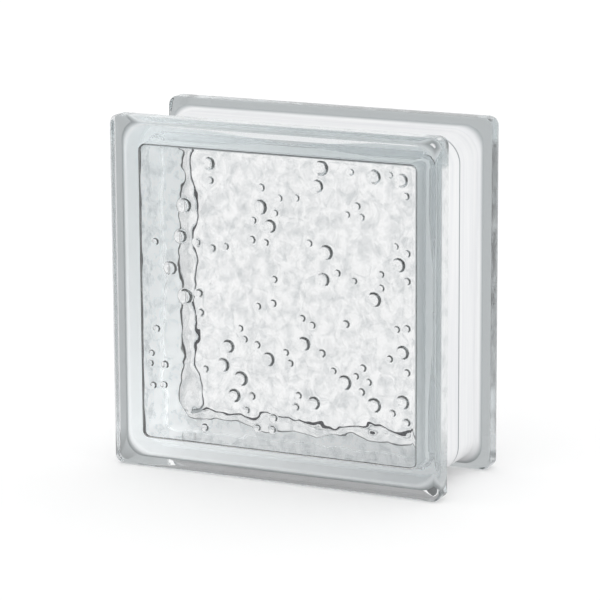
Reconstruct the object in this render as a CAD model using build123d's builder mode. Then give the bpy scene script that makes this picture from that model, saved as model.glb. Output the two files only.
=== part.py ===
from build123d import *
import os
from math import radians, tan

# Hollow glass block, made of two identical pressed half-shells fused rim to rim.
# X is the block's width, Y runs from the front face to the back face, Z is its height.
# The origin is the middle of the underside, where the block stands on its two lips.

# Driving dimensions of the block, in millimetres and degrees
width = 190.0
height = 190.0
depth = 80.0

# Lips, which frame each face and form the sides of the mortar groove
lip_width = 11.5
lip_corner_radius = 5.0
rim_radius = 3.0
lip_edge_radius = 2.0

# Mortar groove, which runs round all four narrow sides
groove_depth = 6.0
groove_corner_radius = 14.0
flank_run = 4.0
flank_root_bevel = 1.8
seam_bevel = 1.2

# Dish pressed into each half-shell, which the two make a sealed cavity
face_thickness = 8.0
rim_wall = 7.0
wall_draft = 3.5
cavity_corner_radius = 6.0
dish_root_bevel = 2.0

# Bubbles pressed on the inner side of each face, as low domes of two sizes
large_bubble = 8.5
large_crown = 4.4
large_rise = 1.5
small_bubble = 4.5
small_crown = 2.2
small_rise = 1.0
bubble_root = 0.6
bubble_sides = 12

# Bubble centres, in hundredths of the way from the middle of the dish floor to its walls,
# across and up, as seen from in front of the front face
large_centres = [
    (-11, 64), (34, 20), (70, 10), (-35, -31), (-6, -37),
    (-26, -52), (90, -23), (87, 34), (30, 81), (20, -24),
    (49, -47), (-31, -64), (70, 90), (89, 89), (70, -60),
    (27, -63), (-39, -44), (36, 38), (-4, 52), (-66, 61),
    (-69, 40), (-77, 18), (-66, 0), (-48, 90), (90, -56),
]
small_centres = [
    (3, 71), (-17, 42), (58, 70), (61, 62), (24, 43),
    (75, 27), (50, -8), (33, -29), (57, -42), (61, -52),
]

# Sizes that follow from the ones above
half_depth = depth / 2
lip_back = half_depth - lip_width
groove_edge = lip_back - flank_run
neck_width = width - 2 * groove_depth
neck_height = height - 2 * groove_depth
cavity_depth = half_depth - face_thickness
mouth_width = neck_width - 2 * rim_wall
mouth_height = neck_height - 2 * rim_wall
draft_inset = cavity_depth * tan(radians(wall_draft))
floor_half_width = mouth_width / 2 - draft_inset
floor_half_height = mouth_height / 2 - draft_inset

# The seam plane looks out through the front face, so its offsets run from the seam forwards
seam = Plane(origin=(0, 0, height / 2), x_dir=(1, 0, 0), z_dir=(0, -1, 0))
dish_floor = seam.offset(cavity_depth)


def press_bubbles(centres, across, crown, rise):
    """Adds one low dome at each centre to the shell being built, with its slope going on into the glass."""
    foot = across + (across - crown) * bubble_root / rise
    with BuildPart() as dome:
        with BuildSketch(Plane.XY.offset(bubble_root)):
            RegularPolygon(foot / 2, bubble_sides)
        with BuildSketch(Plane.XY.offset(-rise)):
            RegularPolygon(crown / 2, bubble_sides)
        loft(ruled=True)
    spots = [(u * floor_half_width / 100, v * floor_half_height / 100) for u, v in centres]
    with Locations(dish_floor):
        with Locations(*spots):
            add(dome.part)


with BuildPart() as front_shell:
    # Lip, the full outline of the block
    with BuildSketch(seam.offset(lip_back)):
        RectangleRounded(width, height, lip_corner_radius)
    extrude(amount=lip_width)

    # Flank, which falls from the lip to the floor of the mortar groove
    with BuildSketch(seam.offset(lip_back)):
        RectangleRounded(width, height, lip_corner_radius)
    with BuildSketch(seam.offset(groove_edge)):
        RectangleRounded(neck_width, neck_height, groove_corner_radius)
    loft(ruled=True)

    # Neck, whose outside is the groove's floor and whose end is fused to the other half
    with BuildSketch(seam):
        RectangleRounded(neck_width, neck_height, groove_corner_radius)
    extrude(amount=groove_edge)

    # Roundings of the pressed outside
    fillet(edges().filter_by_position(Axis.Y, -half_depth, -half_depth), rim_radius)
    fillet(edges().filter_by_position(Axis.Y, -lip_back, -lip_back), lip_edge_radius)
    chamfer(edges().filter_by_position(Axis.Y, -groove_edge, -groove_edge), flank_root_bevel)
    chamfer(edges().filter_by_position(Axis.Y, 0, 0), seam_bevel)

    # Dish, drafted so that the plunger can be drawn
    with BuildSketch(seam):
        RectangleRounded(mouth_width, mouth_height, cavity_corner_radius)
    extrude(amount=cavity_depth, taper=wall_draft, mode=Mode.SUBTRACT)
    chamfer(edges().filter_by_position(Axis.Y, -cavity_depth, -cavity_depth), dish_root_bevel)

    # Bubbles, which stand up from the dish floor into the cavity
    press_bubbles(large_centres, large_bubble, large_crown, large_rise)
    press_bubbles(small_centres, small_bubble, small_crown, small_rise)
front_shell.part.label = "front_shell"

# The back half comes from the same mould, turned to face the other way
with BuildPart() as back_shell:
    add(front_shell.part.rotate(Axis.Z, 180))
back_shell.part.label = "back_shell"

os.makedirs("parts", exist_ok=True)
export_step(front_shell.part, "parts/front_shell.step")
export_step(back_shell.part, "parts/back_shell.step")
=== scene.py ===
"""Hollow glass block: two pressed half-shells with bubbles inside and a white coat in the groove."""

import logging
import math
from dataclasses import dataclass, field
from enum import Enum

import bmesh
import bpy
import numpy as np
from mathutils import Matrix, Vector, noise


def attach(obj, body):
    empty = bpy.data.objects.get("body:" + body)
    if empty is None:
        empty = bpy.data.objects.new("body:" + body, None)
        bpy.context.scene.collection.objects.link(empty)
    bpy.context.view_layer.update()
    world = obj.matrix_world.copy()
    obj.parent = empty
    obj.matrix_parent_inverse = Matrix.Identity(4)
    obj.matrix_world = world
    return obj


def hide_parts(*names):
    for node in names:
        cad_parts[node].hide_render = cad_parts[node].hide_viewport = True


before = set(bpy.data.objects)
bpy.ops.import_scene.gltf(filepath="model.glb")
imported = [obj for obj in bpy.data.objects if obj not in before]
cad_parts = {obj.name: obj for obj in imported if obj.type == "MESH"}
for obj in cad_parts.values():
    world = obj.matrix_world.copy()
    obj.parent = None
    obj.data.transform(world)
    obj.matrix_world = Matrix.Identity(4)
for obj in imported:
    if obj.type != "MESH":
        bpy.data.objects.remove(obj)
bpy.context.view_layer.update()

log = logging.getLogger("glass_block")

Color = tuple[float, float, float, float]

MM = 0.001
WHITE: Color = (1.0, 1.0, 1.0, 1.0)
GOLDEN_SHARE = 0.618034
MERGE_WITHIN = 1e-7
HAIR = 1e-6

# Halfway up to the first, second and third time that a ray is bounced or let through
FIRST_TIME = 0.5
SECOND_TIME = 1.5
THIRD_TIME = 2.5

# Places of a Mix node's colour sockets: amount, first and second colour, and the result
COLOR_MIX_INPUTS = (0, 6, 7)
COLOR_MIX_OUTPUT = 2

NOISE_DETAIL = 3.0
NOISE_ROUGHNESS = 0.55
NOISE_SPREAD = (0.32, 0.68)

# Bubble centres, in hundredths of the way from the middle of the dish floor to its walls,
# across and up, as seen from in front of the front face
LARGE_BUBBLES: tuple[tuple[int, int], ...] = (
    (-11, 64), (34, 20), (70, 10), (-35, -31), (-6, -37), (-26, -52), (90, -23),
    (87, 34), (30, 81), (20, -24), (49, -47), (-31, -64), (70, 90), (33, 93),
    (89, 89), (70, -60), (27, -63), (-39, -44), (36, 38), (-4, 52), (-66, 61),
    (-69, 40), (-77, 18), (-66, 0), (-48, 90), (90, -56),
)
SMALL_BUBBLES: tuple[tuple[int, int], ...] = (
    (-10, 77), (3, 71), (15, 72), (0, 61), (-16, 55), (-17, 42), (-7, 41),
    (24, 43), (54, 92), (81, 92), (58, 70), (51, 64), (61, 63), (92, 79),
    (85, 46), (93, 42), (75, 27), (75, 18), (93, 24), (-1, 17), (44, 25),
    (56, 21), (-13, -2), (-2, 1), (19, -7), (26, -11), (50, -8), (86, -8),
    (93, -7), (-26, -18), (-23, -25), (-14, -28), (7, -31), (10, -38), (33, -29),
    (41, -40), (62, -36), (57, -42), (66, -45), (61, -52), (81, -28), (93, -36),
    (-52, -48), (83, -64), (93, -69), (16, -59), (14, -67), (-18, -63), (-22, -73),
    (-2, -76), (-14, -84), (-3, -84), (-53, -88), (-88, 35), (-88, -24), (-92, -41),
    (-93, -48), (-82, -48), (-91, -63), (-83, -62), (-56, 3), (-55, -10), (-46, 34),
    (-36, 36), (-57, 37), (-47, 79),
)


class Slot(Enum):
    """Material slots of a half-shell's mesh."""

    GLASS = 0
    COAT = 1


class Facing(Enum):
    """Which way a half-shell's face looks."""

    FORWARDS = "forwards"
    BACKWARDS = "backwards"


def uneven_share(k: int, skip: int = 0) -> float:
    """Share from 0 to 1 that differs unevenly, but always alike, along a row of things.

    Args:
        k: Place in the row.
        skip: How many places ahead to look.

    Returns:
        The share.
    """
    return (k + skip) * GOLDEN_SHARE % 1.0


@dataclass(frozen=True)
class BlockSizes:
    """Sizes of the block, in metres and degrees: its solids' own, with round roots for chamfered ones."""

    width: float = 190 * MM
    height: float = 190 * MM
    depth: float = 80 * MM
    lip_width: float = 11.5 * MM
    lip_corner: float = 5 * MM
    rim: float = 3 * MM
    lip_edge: float = 2 * MM
    groove_depth: float = 6 * MM
    groove_corner: float = 14 * MM
    flank_run: float = 4 * MM
    flank_root: float = 2.5 * MM
    bare_flank_share: float = 0.6
    seam_edge: float = 1.2 * MM
    seam_gap: float = 0.03 * MM
    face: float = 8 * MM
    wall: float = 7 * MM
    draft: float = 3.5
    cavity_corner: float = 6 * MM
    dish_root: float = 1.5 * MM

    @property
    def dish_depth(self) -> float:
        """From the seam plane to the dish floor."""
        return self.depth / 2 - self.face

    @property
    def draft_inset(self) -> float:
        """How far the draft brings the dish floor's outline in from its mouth."""
        return self.dish_depth * math.tan(math.radians(self.draft))


@dataclass(frozen=True)
class Relief:
    """The pattern pressed into a dish floor: low bubbles, and broad soft swells between them."""

    half: Vector
    large_radius: float = 4.25 * MM
    large_rise: float = 2.50 * MM
    small_radius: float = 2.3 * MM
    small_rise: float = 1.50 * MM
    size_spread: float = 0.16
    rise_spread: float = 0.12
    rise_skip: int = 7
    top_loss: float = 0.18
    snap_share: float = 0.4
    swell: float = 0.36 * MM
    swell_span: float = 11 * MM
    crease: float = 0.50 * MM
    crease_span: float = 20 * MM
    crease_shift: tuple[float, float, float] = (3.1, 7.7, 0.0)
    ripple: float = 0.04 * MM
    ripple_span: float = 4 * MM
    ripple_shift: tuple[float, float, float] = (9.3, 1.9, 0.0)

    def domes(self) -> list[tuple[float, float, float, float]]:
        """Places every bubble.

        Returns:
            Centre across and up, radius and rise of each, in metres.
        """
        spots = []
        for centres, radius, rise in (
            (LARGE_BUBBLES, self.large_radius, self.large_rise),
            (SMALL_BUBBLES, self.small_radius, self.small_rise),
        ):
            for k, (u, v) in enumerate(centres):
                size = 1 - self.size_spread * uneven_share(k)
                spread = self.rise_spread * uneven_share(k, self.rise_skip)
                steep = 1 - spread - self.top_loss * max(v, 0) / 100
                centre = (u * self.half.x / 100, v * self.half.y / 100)
                spots.append((*centre, radius * size, rise * size * steep))
        return spots

    def snap(self, plan: np.ndarray, cell: float) -> np.ndarray:
        """Moves the points next to a bubble's edge onto it, so that the edge stays crisp.

        Args:
            plan: Points of the dish floor, one row each.
            cell: Distance between neighbouring points.

        Returns:
            The moved points.
        """
        out = plan.copy()
        for cx, cz, radius, _ in self.domes():
            away = out - (cx, cz)
            far = np.hypot(away[:, 0], away[:, 1])
            near = np.abs(far - radius) < self.snap_share * cell
            out[near] = np.array((cx, cz)) + away[near] * (radius / far[near])[:, None]
        return out

    def height(self, plan: np.ndarray) -> np.ndarray:
        """Height of the pattern above the dish floor.

        Args:
            plan: Points of the dish floor, one row each.

        Returns:
            One height for each point, in metres.
        """
        rise = np.zeros(len(plan))
        for cx, cz, radius, top in self.domes():
            ball = (radius**2 + top**2) / (2 * top)
            far = np.hypot(plan[:, 0] - cx, plan[:, 1] - cz)
            inside = far < radius
            cap = np.sqrt(ball**2 - far[inside] ** 2) - (ball - top)
            rise[inside] = np.maximum(rise[inside], cap)
        return rise + self.swells(plan)

    def swells(self, plan: np.ndarray) -> np.ndarray:
        """Height of the soft unevenness between the bubbles.

        Args:
            plan: Points of the dish floor, one row each.

        Returns:
            One height for each point, in metres.
        """
        soft = []
        for x, z in plan:
            spot = Vector((x, z, 0.0))
            broad = noise.noise(spot / self.swell_span)
            folded = abs(noise.noise(spot / self.crease_span + Vector(self.crease_shift)))
            fine = noise.noise(spot / self.ripple_span + Vector(self.ripple_shift))
            soft.append(self.swell * broad + self.crease * folded + self.ripple * fine)
        return np.array(soft)


@dataclass
class HalfShell:
    """One pressed half of the block."""

    name: str
    node: str
    facing: Facing
    sizes: BlockSizes = field(default_factory=BlockSizes)
    floor_cells: int = 276
    still_cells: float = 1.5
    fade_cells: int = 4
    corner_cells: int = 6
    round_from: float = 0.9
    wall_rows: int = 6
    root_rows: int = 4
    outline_segments: int = 14
    seam_segments: int = 4
    rim_segments: int = 16
    flank_segments: int = 8

    def build(self, glass: bpy.types.Material, coat: bpy.types.Material) -> bpy.types.Object:
        """Makes the half as one closed mesh.

        Args:
            glass: Finish of the pressing.
            coat: Finish of its groove.

        Returns:
            The half, in its place.
        """
        bm = bmesh.new()
        mouth = self._dish(bm)
        inner = self._outside(bm)
        land = bmesh.ops.triangle_fill(bm, use_beauty=True, use_dissolve=False, edges=mouth + inner)
        for f in land["geom"]:
            if isinstance(f, bmesh.types.BMFace):
                f.material_index = Slot.GLASS.value
        bmesh.ops.remove_doubles(bm, verts=bm.verts, dist=MERGE_WITHIN)
        bmesh.ops.recalc_face_normals(bm, faces=bm.faces)
        bmesh.ops.translate(bm, verts=bm.verts, vec=(0, 0, self.sizes.height / 2))
        if self.facing is Facing.BACKWARDS:
            bmesh.ops.rotate(bm, verts=bm.verts, cent=(0, 0, 0), matrix=Matrix.Rotation(math.pi, 3, "Z"))
        for f in bm.faces:
            f.smooth = True
        mesh = bpy.data.meshes.new(self.name)
        bm.to_mesh(mesh)
        bm.free()
        finishes = {Slot.GLASS: glass, Slot.COAT: coat}
        for slot in Slot:
            mesh.materials.append(finishes[slot])
        obj = bpy.data.objects.new(self.name, mesh)
        bpy.context.scene.collection.objects.link(obj)
        normals = obj.modifiers.new("Flat faces stay flat", "WEIGHTED_NORMAL")
        normals.mode = "FACE_AREA"
        normals.weight = 50
        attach(obj, "root")
        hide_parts(self.node)
        log.info("%s: %d faces", self.name, len(mesh.polygons))
        return obj

    def _dish(self, bm: bmesh.types.BMesh) -> list[bmesh.types.BMEdge]:
        """Adds the inside of the dish.

        Args:
            bm: The mesh to add to.

        Returns:
            The edges of the dish's mouth.
        """
        s = self.sizes
        inset = s.groove_depth + s.wall + s.draft_inset
        half = Vector((s.width / 2, s.height / 2)) - Vector((1, 1)) * inset
        reach = s.dish_root * math.tan(math.radians(90 - s.draft) / 2)
        flat_half = half - Vector((reach, reach))
        flat_corner = s.cavity_corner - s.draft_inset - reach

        bmesh.ops.create_grid(bm, x_segments=self.floor_cells, y_segments=self.floor_cells, size=1.0)
        verts = list(bm.verts)
        square = np.array([v.co.xy for v in verts])
        plan, outward = self._round_corners(square, flat_half, flat_corner)
        relief = Relief(half)
        level = np.abs(square).max(axis=1)
        inner = level < 1 - self.still_cells / self.floor_cells
        plan[inner] = relief.snap(plan[inner], 2 * flat_half.x / self.floor_cells)
        rise = relief.height(plan) * np.clip((1 - level) * self.floor_cells / self.fade_cells, 0, 1)
        for v, (x, z), up in zip(verts, plan, rise):
            v.co = (x, up - s.dish_depth, z)

        on_edge = level > 1 - HAIR
        normal_at = {v: (p, n) for v, p, n, edge in zip(verts, plan, outward, on_edge) if edge}
        edges = [e for e in bm.edges if e.is_boundary]
        for out, y in self._wall_profile(reach):
            made = bmesh.ops.extrude_edge_only(bm, edges=edges)["geom"]
            new_verts = [g for g in made if isinstance(g, bmesh.types.BMVert)]
            edges = [g for g in made if isinstance(g, bmesh.types.BMEdge) and g.is_boundary]
            carried = {}
            for v in new_verts:
                old = next(e.other_vert(v) for e in v.link_edges if e.other_vert(v) in normal_at)
                point, way = normal_at[old]
                v.co = (point[0] + way[0] * out, y, point[1] + way[1] * out)
                carried[v] = (point, way)
            normal_at = carried
        return edges

    def _wall_profile(self, reach: float) -> list[tuple[float, float]]:
        """Section of the dish's wall, from the flat floor round the root and up to the mouth.

        Args:
            reach: How far the root's rounding comes in over the floor.

        Returns:
            How far out from the flat floor, and where along the depth, each row of points lies.
        """
        s = self.sizes
        turn = math.radians(90 - s.draft)
        rows = []
        for k in range(1, self.root_rows + 1):
            a = turn * k / self.root_rows
            rows.append((s.dish_root * math.sin(a), -s.dish_depth + s.dish_root * (1 - math.cos(a))))
        root_out, root_y = rows[-1]
        mouth_out, mouth_y = reach + s.draft_inset, -s.seam_gap
        for k in range(1, self.wall_rows + 1):
            t = k / self.wall_rows
            rows.append((root_out + (mouth_out - root_out) * t, root_y + (mouth_y - root_y) * t))
        return rows

    def _round_corners(
        self, square: np.ndarray, half: Vector, corner: float
    ) -> tuple[np.ndarray, np.ndarray]:
        """Fits a square grid of points to an outline with round corners.

        Args:
            square: Points from -1 to 1 each way.
            half: Half sizes of the outline.
            corner: Radius of its corners.

        Returns:
            The points in place, and for each the way out of the outline.
        """
        size = np.array(half)
        size_in = size - corner
        level = np.abs(square).max(axis=1)
        on_edge = square / np.maximum(level, HAIR)[:, None]
        sign = np.where(on_edge >= 0, 1.0, -1.0)
        shares = np.abs(on_edge)
        rows = np.arange(len(shares))
        along = shares.argmin(axis=1)
        across = 1 - along
        share = shares[rows, along]
        placed = np.zeros_like(shares)
        way = np.zeros_like(shares)

        zone = self.corner_cells * 2 / self.floor_cells
        in_corner = share > 1 - zone
        row, over, beside = rows[~in_corner], across[~in_corner], along[~in_corner]
        placed[row, over] = size[over]
        placed[row, beside] = share[row] / (1 - zone) * size_in[beside]
        way[row, over] = 1.0
        row, over, beside = rows[in_corner], across[in_corner], along[in_corner]
        angle = (share[row] - (1 - zone)) / zone * math.pi / 4
        placed[row, over] = size_in[over] + corner * np.cos(angle)
        placed[row, beside] = size_in[beside] + corner * np.sin(angle)
        way[row, over] = np.cos(angle)
        way[row, beside] = np.sin(angle)

        ringed = placed * sign * level[:, None]
        w = np.clip((level - self.round_from) / (1 - self.round_from), 0, 1)[:, None]
        w = w * w * (3 - 2 * w)
        return square * size * (1 - w) + ringed * w, way * sign

    def _ring(
        self, bm: bmesh.types.BMesh, inset: float, corner: float, y: float
    ) -> list[bmesh.types.BMEdge]:
        """Adds one outline of the block with round corners, set in by a distance.

        Args:
            bm: The mesh to add to.
            inset: Distance in from the block's outline.
            corner: Radius of the corners.
            y: Where the ring lies along the depth.

        Returns:
            The ring's edges.
        """
        s = self.sizes
        made = bmesh.ops.create_grid(bm, x_segments=1, y_segments=1, size=1.0)["verts"]
        bmesh.ops.scale(bm, verts=made, vec=(s.width / 2 - inset, s.height / 2 - inset, 1))
        bmesh.ops.rotate(bm, verts=made, cent=(0, 0, 0), matrix=Matrix.Rotation(math.pi / 2, 3, "X"))
        bmesh.ops.translate(bm, verts=made, vec=(0, y, 0))
        rounded = bmesh.ops.bevel(
            bm, geom=made, offset=corner, offset_type="OFFSET", segments=self.outline_segments,
            profile=0.5, affect="VERTICES", material=-1,
        )
        face = rounded["verts"][0].link_faces[0]
        edges = list(face.edges)
        bmesh.ops.delete(bm, geom=[face], context="FACES_ONLY")
        return edges

    def _outside(self, bm: bmesh.types.BMesh) -> list[bmesh.types.BMEdge]:
        """Adds the face, lip, flank and groove.

        Args:
            bm: The mesh to add to.

        Returns:
            The inner edges of the groove's end, where the sealing land begins.
        """
        s = self.sizes
        lip_back = -(s.depth / 2 - s.lip_width)
        bare = s.bare_flank_share
        coat_corner = s.lip_corner + (s.groove_corner - s.lip_corner) * bare
        face_ring = self._ring(bm, 0, s.lip_corner, -s.depth / 2)
        lip_ring = self._ring(bm, 0, s.lip_corner, lip_back)
        coat_ring = self._ring(bm, s.groove_depth * bare, coat_corner, lip_back + s.flank_run * bare)
        root_ring = self._ring(bm, s.groove_depth, s.groove_corner, lip_back + s.flank_run)
        neck_end = self._ring(bm, s.groove_depth, s.groove_corner, -s.seam_gap - s.seam_edge)
        bmesh.ops.contextual_create(bm, geom=face_ring)
        bmesh.ops.bridge_loops(bm, edges=face_ring + lip_ring)
        bmesh.ops.bridge_loops(bm, edges=lip_ring + coat_ring)
        self._coated_band(bm, coat_ring, root_ring)
        self._coated_band(bm, root_ring, neck_end)
        land_ring = neck_end
        for k in range(1, self.seam_segments + 1):
            turn = math.pi / 2 * k / self.seam_segments
            inset = s.seam_edge * (1 - math.cos(turn))
            back = s.seam_gap + s.seam_edge * (1 - math.sin(turn))
            ring = self._ring(bm, s.groove_depth + inset, s.groove_corner - inset, -back)
            self._coated_band(bm, land_ring, ring)
            land_ring = ring
        flank = math.atan2(s.groove_depth, s.flank_run)
        for ring, radius, turn, segments in (
            (face_ring, s.rim, math.pi / 2, self.rim_segments),
            (lip_ring, s.lip_edge, flank, self.flank_segments),
            (root_ring, s.flank_root, flank, self.flank_segments),
        ):
            bmesh.ops.bevel(
                bm, geom=ring, offset=radius * math.tan(turn / 2), offset_type="OFFSET",
                segments=segments, profile=0.5, affect="EDGES", material=-1,
            )
        return land_ring

    def _coated_band(
        self, bm: bmesh.types.BMesh, first: list[bmesh.types.BMEdge], second: list[bmesh.types.BMEdge]
    ) -> None:
        """Joins two rings with a coated band of the groove."""
        for f in bmesh.ops.bridge_loops(bm, edges=first + second)["faces"]:
            f.material_index = Slot.COAT.value


def feed(nt: bpy.types.NodeTree, value: object, into: bpy.types.NodeSocket) -> None:
    """Links a node's output into a socket, or sets the socket to a plain number or colour.

    Args:
        nt: Tree that the socket is in.
        value: Output, number or colour.
        into: The socket.
    """
    if isinstance(value, bpy.types.NodeSocket):
        nt.links.new(value, into)
    else:
        into.default_value = value


def add_math(nt: bpy.types.NodeTree, kind: str, *values: object) -> bpy.types.NodeSocket:
    """Adds a Math node.

    Args:
        nt: Tree to add it to.
        kind: The operation.
        values: Sockets or plain numbers that feed it.

    Returns:
        Its result.
    """
    node = nt.nodes.new("ShaderNodeMath")
    node.operation = kind
    for value, into in zip(values, node.inputs):
        feed(nt, value, into)
    return node.outputs[0]


def add_range(
    nt: bpy.types.NodeTree, value: bpy.types.NodeSocket, start: float, end: float,
    low: object = 0.0, high: object = 1.0, soft: bool = False,
) -> bpy.types.NodeSocket:
    """Adds a Map Range node, which keeps its result between the two ends.

    Args:
        nt: Tree to add it to.
        value: What it reads.
        start: Where the change begins.
        end: Where the change is over.
        low: Result up to the start.
        high: Result from the end on.
        soft: Whether the change eases in and out.

    Returns:
        Its result.
    """
    node = nt.nodes.new("ShaderNodeMapRange")
    if soft:
        node.interpolation_type = "SMOOTHSTEP"
    feed(nt, value, node.inputs["Value"])
    for label, number in (("From Min", start), ("From Max", end), ("To Min", low), ("To Max", high)):
        feed(nt, number, node.inputs[label])
    return node.outputs[0]


def mix_colors(
    nt: bpy.types.NodeTree, amount: bpy.types.NodeSocket, first: object, second: object
) -> bpy.types.NodeSocket:
    """Mixes two colours.

    Args:
        nt: Tree to add the node to.
        amount: How much of the second colour shows.
        first: Colour or socket.
        second: Colour or socket.

    Returns:
        The mixed colour.
    """
    node = nt.nodes.new("ShaderNodeMix")
    node.data_type = "RGBA"
    for value, k in zip((amount, first, second), COLOR_MIX_INPUTS):
        feed(nt, value, node.inputs[k])
    return node.outputs[COLOR_MIX_OUTPUT]


def object_place(nt: bpy.types.NodeTree) -> tuple[bpy.types.NodeSocket, ...]:
    """Adds the nodes that read where a point lies in its object's own frame.

    Args:
        nt: Tree to add them to.

    Returns:
        Its X, Y and Z.
    """
    place = nt.nodes.new("ShaderNodeTexCoord")
    split = nt.nodes.new("ShaderNodeSeparateXYZ")
    nt.links.new(place.outputs["Object"], split.inputs[0])
    return tuple(split.outputs)


def new_material(name: str) -> bpy.types.Material:
    """Starts a material with nodes.

    Args:
        name: What it is called.

    Returns:
        The material, with its plain shader.
    """
    mat = bpy.data.materials.new(name)
    mat.use_nodes = True
    return mat


def unevenness_group() -> bpy.types.NodeTree:
    """Builds the node group for soft variation over a surface, once.

    Returns:
        The group.
    """
    name = "soft_unevenness"
    if name in bpy.data.node_groups:
        return bpy.data.node_groups[name]
    group = bpy.data.node_groups.new(name, "ShaderNodeTree")
    group.interface.new_socket("Stretch", in_out="INPUT", socket_type="NodeSocketVector")
    for label in ("Grain", "Twist", "Least", "Most"):
        group.interface.new_socket(label, in_out="INPUT", socket_type="NodeSocketFloat")
    group.interface.new_socket("Value", in_out="OUTPUT", socket_type="NodeSocketFloat")
    given = group.nodes.new("NodeGroupInput").outputs
    result = group.nodes.new("NodeGroupOutput").inputs
    place = group.nodes.new("ShaderNodeTexCoord")
    stretch = group.nodes.new("ShaderNodeMapping")
    group.links.new(place.outputs["Object"], stretch.inputs["Vector"])
    group.links.new(given["Stretch"], stretch.inputs["Scale"])
    grain = group.nodes.new("ShaderNodeTexNoise")
    grain.inputs["Detail"].default_value = NOISE_DETAIL
    grain.inputs["Roughness"].default_value = NOISE_ROUGHNESS
    group.links.new(stretch.outputs[0], grain.inputs["Vector"])
    group.links.new(given["Grain"], grain.inputs["Scale"])
    group.links.new(given["Twist"], grain.inputs["Distortion"])
    value = add_range(group, grain.outputs["Fac"], *NOISE_SPREAD, given["Least"], given["Most"])
    group.links.new(value, result["Value"])
    return group


@dataclass(frozen=True)
class Unevenness:
    """Soft variation over a surface, as pressing and brushing leave it, and soft patches of painted shade.

    The grain is in variations per metre, and the stretch says how closely it varies along each axis.
    """

    grain: float
    twist: float
    least: float
    most: float
    stretch: tuple[float, float, float] = (1.0, 1.0, 1.0)

    def place(self, nt: bpy.types.NodeTree) -> bpy.types.NodeSocket:
        """Adds the variation to a material.

        Args:
            nt: The material's tree.

        Returns:
            Its value.
        """
        node = nt.nodes.new("ShaderNodeGroup")
        node.node_tree = unevenness_group()
        node.inputs["Stretch"].default_value = self.stretch
        node.inputs["Grain"].default_value = self.grain
        node.inputs["Twist"].default_value = self.twist
        node.inputs["Least"].default_value = self.least
        node.inputs["Most"].default_value = self.most
        return node.outputs["Value"]


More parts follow.
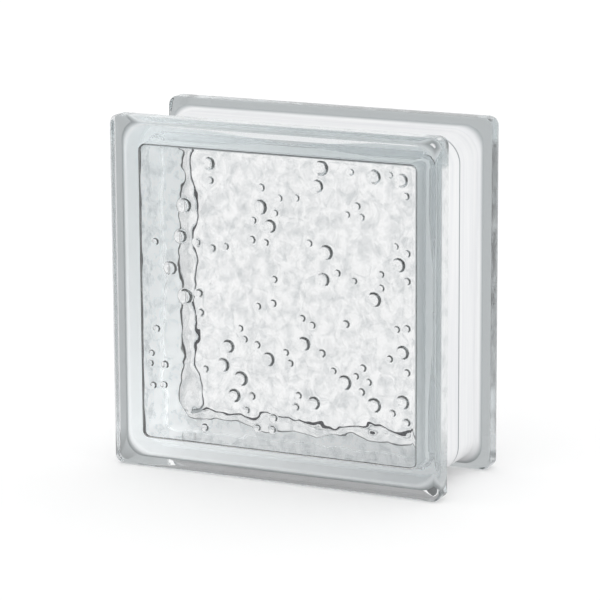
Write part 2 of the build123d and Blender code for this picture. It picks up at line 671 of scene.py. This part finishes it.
@dataclass(frozen=True)
class ClearGlass:
    """Clear pressed glass, faintly green through its thickness, with painted shade in soft patches where
    the pattern is pressed and a painted dark line at the dish root.
    """

    sizes: BlockSizes
    name: str = "pressed_glass"
    ior: float = 1.52
    tint: Color = (0.64, 0.70, 0.73, 1.0)
    density: float = 4.5
    shadow: Color = (0.96, 0.98, 0.975, 1.0)
    polish: Unevenness = Unevenness(grain=60, twist=0.3, least=0.0, most=0.02)
    side_roughness: float = 0.22
    side_from: float = 1.5 * MM
    side_to: float = 0.2 * MM
    # Soft patches of painted shade on the dish floors, standing in for the light and shade of the pressed
    # relief
    shade_patches: Unevenness = Unevenness(grain=190, twist=0.4, least=-0.55, most=1.15, stretch=(1.0, 1.0, 0.8))
    patch_margin: float = 1 * MM
    relief_shade: Color = (0.67, 0.69, 0.70, 1.0)
    # Painted shade along the dish root: mid grey where seen through the near half, near-black through the
    # far half
    near_root_shade: Color = (0.38, 0.40, 0.41, 1.0)
    far_root_shade: Color = (0.004, 0.004, 0.005, 1.0)
    root_shade_width: float = 0.85 * MM

    def material(self) -> bpy.types.Material:
        """Makes the glass, which lets light through to what it shades.

        Returns:
            The material.
        """
        mat = new_material(self.name)
        nt = mat.node_tree
        glass = nt.nodes["Principled BSDF"]
        out = nt.nodes["Material Output"]
        glass.inputs["Transmission Weight"].default_value = 1.0
        glass.inputs["Metallic"].default_value = 0.0
        glass.inputs["IOR"].default_value = self.ior
        nt.links.new(self._painted_shade(nt), glass.inputs["Base Color"])
        nt.links.new(self._roughness(nt), glass.inputs["Roughness"])
        body = nt.nodes.new("ShaderNodeVolumeAbsorption")
        body.inputs["Color"].default_value = self.tint
        body.inputs["Density"].default_value = self.density
        nt.links.new(body.outputs[0], out.inputs["Volume"])
        path = nt.nodes.new("ShaderNodeLightPath")
        clear = nt.nodes.new("ShaderNodeBsdfTransparent")
        clear.inputs["Color"].default_value = self.shadow
        mix = nt.nodes.new("ShaderNodeMixShader")
        nt.links.new(path.outputs["Is Shadow Ray"], mix.inputs[0])
        nt.links.new(glass.outputs[0], mix.inputs[1])
        nt.links.new(clear.outputs[0], mix.inputs[2])
        nt.links.new(mix.outputs[0], out.inputs["Surface"])
        return mat

    def _place(self, nt: bpy.types.NodeTree) -> tuple[bpy.types.NodeSocket, bpy.types.NodeSocket]:
        """Reads how far out a point of the block lies.

        Args:
            nt: Tree to add the nodes to.

        Returns:
            Distance from the middle, across or up, whichever is greater, and from the seam plane.
        """
        x, y, z = object_place(nt)
        up = add_math(nt, "ABSOLUTE", add_math(nt, "SUBTRACT", z, self.sizes.height / 2))
        across = add_math(nt, "MAXIMUM", add_math(nt, "ABSOLUTE", x), up)
        return across, add_math(nt, "ABSOLUTE", y)

    def _roughness(self, nt: bpy.types.NodeTree) -> bpy.types.NodeSocket:
        """Makes the surface polished as the mould leaves it, and duller on the lips' narrow sides.

        Args:
            nt: Tree to add the nodes to.

        Returns:
            The roughness.
        """
        across, _ = self._place(nt)
        edge = self.sizes.width / 2
        side = add_range(nt, across, edge - self.side_from, edge - self.side_to, high=self.side_roughness)
        return add_math(nt, "ADD", self.polish.place(nt), side)

    def _painted_shade(self, nt: bpy.types.NodeTree) -> bpy.types.NodeSocket:
        """Keeps the surface clear outside, with painted shade in soft patches on the dish floors and a
        painted dark line of shade at their root.

        Args:
            nt: Tree to add the nodes to.

        Returns:
            The colour.
        """
        s = self.sizes
        across, off_seam = self._place(nt)
        mouth = s.width / 2 - s.groove_depth - s.wall
        in_plan = add_math(nt, "LESS_THAN", across, mouth - self.patch_margin)
        inside = add_math(nt, "LESS_THAN", off_seam, s.depth / 2 - s.face / 2)
        on_floor = add_math(nt, "MULTIPLY", in_plan, inside)
        # Painted shade: soft grey patches over the dish floors
        amount = add_math(nt, "MULTIPLY", add_math(nt, "MAXIMUM", self.shade_patches.place(nt), 0.0), on_floor)
        relief_shaded = mix_colors(nt, amount, WHITE, self.relief_shade)
        # Painted shade: a dark line at the dish root, near-black once the ray has passed into the glass
        # more than once
        beside = add_math(nt, "GREATER_THAN", across, mouth - s.draft_inset - self.root_shade_width)
        deep = add_math(nt, "GREATER_THAN", off_seam, s.dish_depth - self.root_shade_width)
        root_shade = add_math(nt, "MULTIPLY", add_math(nt, "MULTIPLY", beside, deep), on_floor)
        path = nt.nodes.new("ShaderNodeLightPath")
        far = add_math(nt, "GREATER_THAN", path.outputs["Transmission Depth"], SECOND_TIME)
        return mix_colors(nt, root_shade, relief_shaded, mix_colors(nt, far, self.near_root_shade, self.far_root_shade))


@dataclass(frozen=True)
class BondingCoat:
    """White coat that helps mortar to grip the groove, with the seam showing through it as a grey line that
    painted shade deepens.

    Seen by way of the glass it gives off a painted glow that stands in for light coming through it from
    outside, most at the left and low down.
    Where it thins out on the flank it turns to a painted grey shade, and to a near-black painted shade
    sooner where it is seen through both halves.
    """

    sizes: BlockSizes
    name: str = "bonding_coat"
    color: Color = (0.93, 0.935, 0.94, 1.0)
    streak: Color = (0.82, 0.83, 0.85, 1.0)
    streaks: Unevenness = Unevenness(grain=260, twist=0.2, least=0.0, most=1.0, stretch=(0.04, 1.0, 0.04))
    roughness: Unevenness = Unevenness(grain=900, twist=0.0, least=0.40, most=0.60)
    # Grey line along the seam: the joint showing through the coat, darkened further by painted shade of the
    # seam's notch
    seam_and_notch_shade: Color = (0.40, 0.42, 0.44, 1.0)
    seam_shade_half: float = 0.7 * MM
    inner: Color = (0.89, 0.92, 0.935, 1.0)
    # Where the coat thins out on the flank it is drawn as painted grey shade, standing in for the shaded
    # glass band seen there
    thin_edge_shade: Color = (0.42, 0.45, 0.46, 1.0)
    thin_from: float = 24.9 * MM
    thin_to: float = 26.1 * MM
    # Painted shade: near-black on the flank, coming in sooner where the coat is seen through both halves
    far_edge_shade: Color = (0.02, 0.02, 0.02, 1.0)
    far_shade_from: float = 22.4 * MM
    far_shade_to: float = 23.2 * MM
    # Painted light: the coat's inner side glows, brighter to the left and low down, standing in for light
    # coming through it from outside
    painted_glow_color: Color = (0.96, 0.95, 0.94, 1.0)
    painted_glow: float = 0.12
    painted_glow_left: float = 1.6
    painted_glow_low: float = 1.2
    far_painted_glow: float = 0.08

    def material(self) -> bpy.types.Material:
        """Makes the coat, streaked where it was rolled on and even where the glass covers it.

        Returns:
            The material.
        """
        mat = new_material(self.name)
        nt = mat.node_tree
        paint = nt.nodes["Principled BSDF"]
        x, y, z = object_place(nt)
        off_seam = add_math(nt, "ABSOLUTE", y)
        path = nt.nodes.new("ShaderNodeLightPath")
        far = add_math(nt, "GREATER_THAN", path.outputs["Transmission Depth"], THIRD_TIME)
        covered = nt.nodes.new("ShaderNodeNewGeometry").outputs["Backfacing"]
        thin_edge_shaded = add_range(nt, off_seam, self.thin_from, self.thin_to, soft=True)
        far_edge_shaded = add_math(nt, "MULTIPLY", add_range(nt, off_seam, self.far_shade_from, self.far_shade_to), far)

        tone = mix_colors(nt, self.streaks.place(nt), self.color, self.streak)
        # The seam's grey line, partly the joint and partly painted shade of its notch
        tone = mix_colors(nt, add_math(nt, "LESS_THAN", off_seam, self.seam_shade_half), tone, self.seam_and_notch_shade)
        tone = mix_colors(nt, covered, tone, self.inner)
        # Painted shade: grey where the coat thins out on the flank
        tone = mix_colors(nt, thin_edge_shaded, tone, self.thin_edge_shade)
        # Painted shade: near-black band on the flank when seen through both halves
        tone = mix_colors(nt, far_edge_shaded, tone, self.far_edge_shade)
        nt.links.new(tone, paint.inputs["Base Color"])
        nt.links.new(self.roughness.place(nt), paint.inputs["Roughness"])

        # Painted light: a glow on the coat's covered side by position, plus more where seen through both
        # halves
        right = add_math(nt, "MULTIPLY", x, self.painted_glow_left)
        high = add_math(nt, "MULTIPLY", add_math(nt, "SUBTRACT", z, self.sizes.height / 2), self.painted_glow_low)
        painted_glow = add_math(nt, "SUBTRACT", add_math(nt, "SUBTRACT", self.painted_glow, right), high)
        painted_glow = add_math(nt, "MAXIMUM", painted_glow, 0.0)
        painted_glow = add_math(nt, "ADD", painted_glow, add_math(nt, "MULTIPLY", far, self.far_painted_glow))
        coated = add_math(nt, "SUBTRACT", 1.0, add_math(nt, "MAXIMUM", thin_edge_shaded, far_edge_shaded))
        painted_glow_strength = add_math(nt, "MULTIPLY", add_math(nt, "MULTIPLY", covered, painted_glow), coated)
        paint.inputs["Emission Color"].default_value = self.painted_glow_color
        nt.links.new(painted_glow_strength, paint.inputs["Emission Strength"])
        return mat


@dataclass(frozen=True)
class Studio:
    """White sweep lit evenly from all round, dimmer and cooler where the glass sends a look back."""

    floor_half: float = 3.0
    floor_color: Color = (0.9, 0.9, 0.9, 1.0)
    light: float = 1.0
    lift: float = 0.16
    through_lip: float = 0.49
    cool: Color = (0.88, 0.97, 1.0, 1.0)
    turned_sky: float = 0.07
    turned_floor: float = 0.02
    by_walls: float = 0.62
    # Painted shadow: how much the floor's light drops under the block, where the block rests on it
    under_shadow: float = 0.30
    under_half: tuple[float, float] = (92 * MM, 38 * MM)
    under_fade: tuple[float, float] = (-4 * MM, 12 * MM)

    def build(self) -> None:
        """Adds the floor and the world."""
        bm = bmesh.new()
        bmesh.ops.create_grid(bm, x_segments=1, y_segments=1, size=self.floor_half)
        mesh = bpy.data.meshes.new("studio_floor")
        bm.to_mesh(mesh)
        bm.free()
        floor = bpy.data.objects.new("studio_floor", mesh)
        bpy.context.scene.collection.objects.link(floor)
        mesh.materials.append(self._floor_material())

        world = bpy.data.worlds.new("studio")
        bpy.context.scene.world = world
        world.use_nodes = True
        nt = world.node_tree
        sky = nt.nodes["Background"]
        level = self._light_left(nt, self.turned_sky)
        nt.links.new(level, sky.inputs["Strength"])
        nt.links.new(self._light_color(nt, level), sky.inputs["Color"])

    def _floor_material(self) -> bpy.types.Material:
        """Makes the floor white: shaded where the camera sees it, evenly bright for the object's light
        except for a painted shadow under the block.

        Returns:
            The material.
        """
        mat = new_material("studio_floor")
        nt = mat.node_tree
        nt.nodes.remove(nt.nodes["Principled BSDF"])
        cloth = nt.nodes.new("ShaderNodeBsdfDiffuse")
        cloth.inputs["Color"].default_value = self.floor_color
        lift = nt.nodes.new("ShaderNodeEmission")
        lift.inputs["Strength"].default_value = self.lift
        shaded = nt.nodes.new("ShaderNodeAddShader")
        nt.links.new(cloth.outputs[0], shaded.inputs[0])
        nt.links.new(lift.outputs[0], shaded.inputs[1])
        even = nt.nodes.new("ShaderNodeEmission")
        level = self._light_left(nt, self.turned_floor)
        nt.links.new(add_math(nt, "MULTIPLY", level, self._floor_shadow_factor(nt)), even.inputs["Strength"])
        nt.links.new(self._light_color(nt, level), even.inputs["Color"])
        path = nt.nodes.new("ShaderNodeLightPath")
        pick = nt.nodes.new("ShaderNodeMixShader")
        nt.links.new(path.outputs["Is Camera Ray"], pick.inputs[0])
        nt.links.new(even.outputs[0], pick.inputs[1])
        nt.links.new(shaded.outputs[0], pick.inputs[2])
        nt.links.new(pick.outputs[0], nt.nodes["Material Output"].inputs["Surface"])
        return mat

    def _floor_shadow_factor(self, nt: bpy.types.NodeTree) -> bpy.types.NodeSocket:
        """Paints a shadow into the floor's light under the block, dimming it for a look straight down
        through a lip.

        Args:
            nt: Tree to add the nodes to.

        Returns:
            One on the open floor, and less under the block.
        """
        x, y, _ = object_place(nt)
        off_x, off_y = (
            add_math(nt, "SUBTRACT", add_math(nt, "ABSOLUTE", way), half)
            for way, half in zip((x, y), self.under_half)
        )
        outside = add_math(nt, "MAXIMUM", off_x, off_y)
        covered = add_range(nt, outside, *self.under_fade, low=1 - self.under_shadow, high=0.0)
        path = nt.nodes.new("ShaderNodeLightPath")
        near = add_math(nt, "LESS_THAN", path.outputs["Transmission Depth"], THIRD_TIME)
        direct = add_math(nt, "LESS_THAN", path.outputs["Glossy Depth"], FIRST_TIME)
        lost = add_math(nt, "MULTIPLY", covered, add_math(nt, "MULTIPLY", near, direct))
        return add_math(nt, "SUBTRACT", 1.0, lost)

    def _light_color(self, nt: bpy.types.NodeTree, level: bpy.types.NodeSocket) -> bpy.types.NodeSocket:
        """Colour of the surroundings: white where they are bright, and cooler where they are dim."""
        return mix_colors(nt, add_math(nt, "SUBTRACT", self.light, level), WHITE, self.cool)

    def _light_left(self, nt: bpy.types.NodeTree, turned: float) -> bpy.types.NodeSocket:
        """How bright the surroundings are for a ray, by its way through the glass.

        Args:
            nt: Tree to add the nodes to.
            turned: Brightness for a ray that one half has turned back to where it came from.

        Returns:
            The brightness.
        """
        path = nt.nodes.new("ShaderNodeLightPath").outputs
        clean = add_math(nt, "LESS_THAN", path["Diffuse Depth"], FIRST_TIME)
        clean = add_math(nt, "MULTIPLY", clean, path["Is Transmission Ray"])
        bounced = add_math(nt, "GREATER_THAN", path["Glossy Depth"], FIRST_TIME)
        by_both = add_math(nt, "GREATER_THAN", path["Transmission Depth"], THIRD_TIME)
        by_some = add_math(nt, "GREATER_THAN", path["Transmission Depth"], SECOND_TIME)
        by_one = add_math(nt, "MULTIPLY", by_some, add_math(nt, "SUBTRACT", 1.0, by_both))
        loss = 0.0
        for halves, straight, sent_back in (
            (by_one, self.through_lip, turned),
            (by_both, self.light, self.by_walls),
        ):
            level = add_range(nt, bounced, 0.0, 1.0, low=straight, high=sent_back)
            lost = add_math(nt, "MULTIPLY", add_math(nt, "SUBTRACT", self.light, level), halves)
            loss = add_math(nt, "ADD", loss, lost)
        return add_math(nt, "SUBTRACT", self.light, add_math(nt, "MULTIPLY", loss, clean))


@dataclass(frozen=True)
class PhotoCamera:
    """Camera at the photograph's angle, in degrees, metres and, for its lens, millimetres."""

    yaw: float = 25.6
    pitch: float = 12.7
    roll: float = -0.33
    distance: float = 1.6847
    right: float = 0.0149
    up: float = 0.00372
    lens: float = 194.6
    sensor: float = 36.0
    clip_end: float = 50.0

    def build(self, aim: Vector) -> None:
        """Adds the camera, looking at a point of the front face.

        Args:
            aim: Middle of the front face.
        """
        yaw, pitch, roll = (math.radians(a) for a in (self.yaw, self.pitch, self.roll))
        look = Vector((-math.sin(yaw) * math.cos(pitch), math.cos(yaw) * math.cos(pitch), -math.sin(pitch)))
        level = Vector((math.cos(yaw), math.sin(yaw), 0))
        up = level.cross(look)
        right_way = math.cos(roll) * level + math.sin(roll) * up
        up_way = -math.sin(roll) * level + math.cos(roll) * up
        data = bpy.data.cameras.new("photo_camera")
        data.lens = self.lens
        data.sensor_width = self.sensor
        data.clip_end = self.clip_end
        camera = bpy.data.objects.new("photo_camera", data)
        spot = aim - self.distance * look + self.right * right_way + self.up * up_way
        turn = Matrix((right_way, up_way, -look)).transposed().to_4x4()
        camera.matrix_world = Matrix.Translation(spot) @ turn
        bpy.context.scene.collection.objects.link(camera)
        bpy.context.scene.camera = camera


def main() -> None:
    """Builds the block, its finishes, the studio and the camera."""
    logging.basicConfig(level=logging.INFO)
    scene = bpy.context.scene
    scene.view_settings.view_transform = "Standard"
    scene.cycles.max_bounces = 32
    scene.cycles.diffuse_bounces = 12
    scene.cycles.glossy_bounces = 16
    scene.cycles.transmission_bounces = 32
    scene.cycles.transparent_max_bounces = 32
    sizes = BlockSizes()
    PhotoCamera().build(Vector((0, -sizes.depth / 2, sizes.height / 2)))
    Studio().build()
    glass = ClearGlass(sizes).material()
    coat = BondingCoat(sizes).material()
    HalfShell("front_glass", "front_shell", Facing.FORWARDS).build(glass, coat)
    HalfShell("back_glass", "back_shell", Facing.BACKWARDS).build(glass, coat)


if __name__ == "__main__":
    main()
